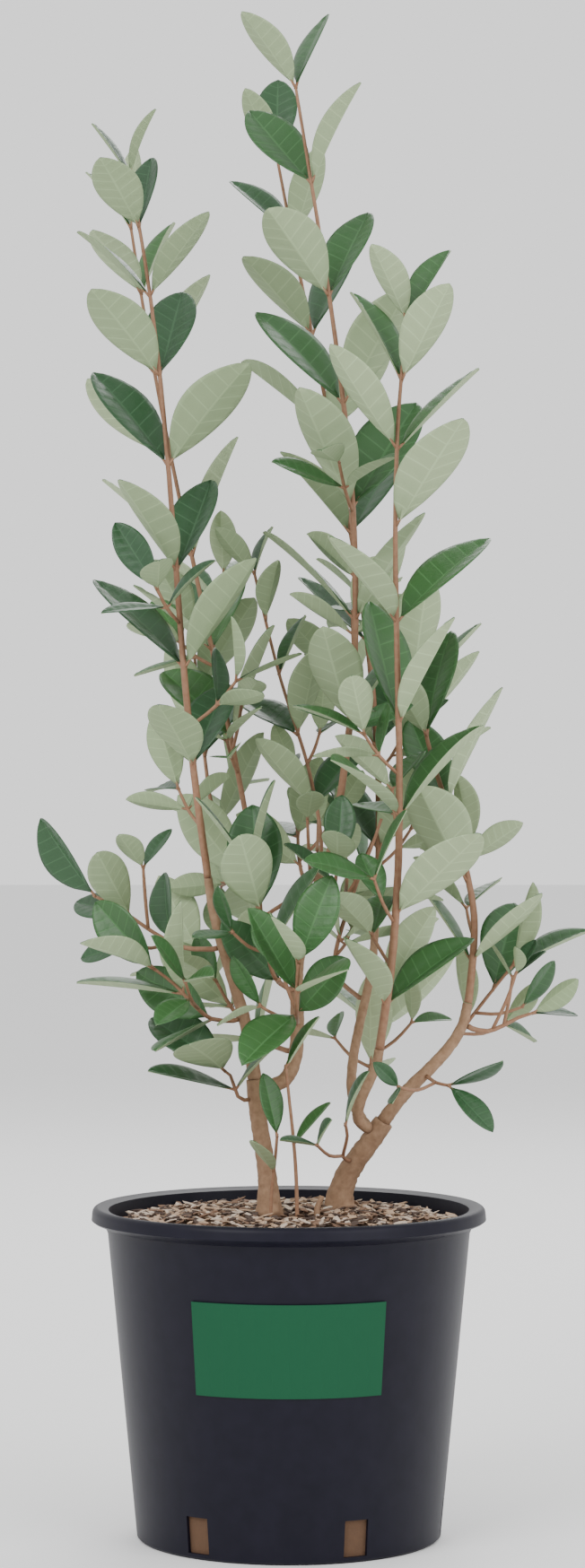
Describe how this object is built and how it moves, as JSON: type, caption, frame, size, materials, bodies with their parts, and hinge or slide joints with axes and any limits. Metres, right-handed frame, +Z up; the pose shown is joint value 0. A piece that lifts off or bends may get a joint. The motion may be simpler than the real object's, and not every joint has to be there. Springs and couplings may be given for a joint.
{
  "type": "potted feijoa shrub",
  "caption": "Young feijoa shrub with leaning trunks, upright whips of opposite grey-green leaves, in a round black nursery pot of soil.",
  "frame": {"origin": "centre of the pot's flat underside", "axes": "+Z up through the pot and the shrub, -Y towards the label and the viewer, +X to the viewer's right"},
  "size_m": [0.3424, 0.3092, 0.9314],
  "materials": {
    "pot": "satin black",
    "soil": "loose soil under bark chips",
    "label": "plain matte green",
    "bark": "rough peeling bark",
    "leaves": "leaves, satin above and matte below"
  },
  "bodies": {
    "root": {"pot": "pot", "soil": "soil", "label": "label", "left_trunk": "bark", "right_trunk": "bark", "dead_stub": "bark", "left_bough": "bark", "middle_bough": "bark", "centre_bough": "bark", "inner_bough": "bark", "right_arm": "bark", "right_bough": "bark", "back_bough": "bark", "whip_centre": "leaves", "whip_left": "leaves", "whip_right": "leaves", "whip_left_back": "leaves", "whip_centre_back": "leaves", "whip_right_back": "leaves", "whip_inner": "leaves", "back_whip_left": "leaves", "back_whip_right": "leaves", "spray_left_low": "leaves", "spray_left_far": "leaves", "spray_left_foot": "leaves", "spray_right_far": "leaves", "spray_right_high": "leaves", "spray_right_low": "leaves", "spray_right_foot": "leaves", "spray_front": "leaves", "spray_back_left": "leaves", "spray_back_right": "leaves", "spray_back_middle": "leaves", "spray_middle_left": "leaves", "spray_middle_right": "leaves", "base_shoot_front": "leaves", "base_shoot_tall": "leaves"}
  },
  "joints": []
}
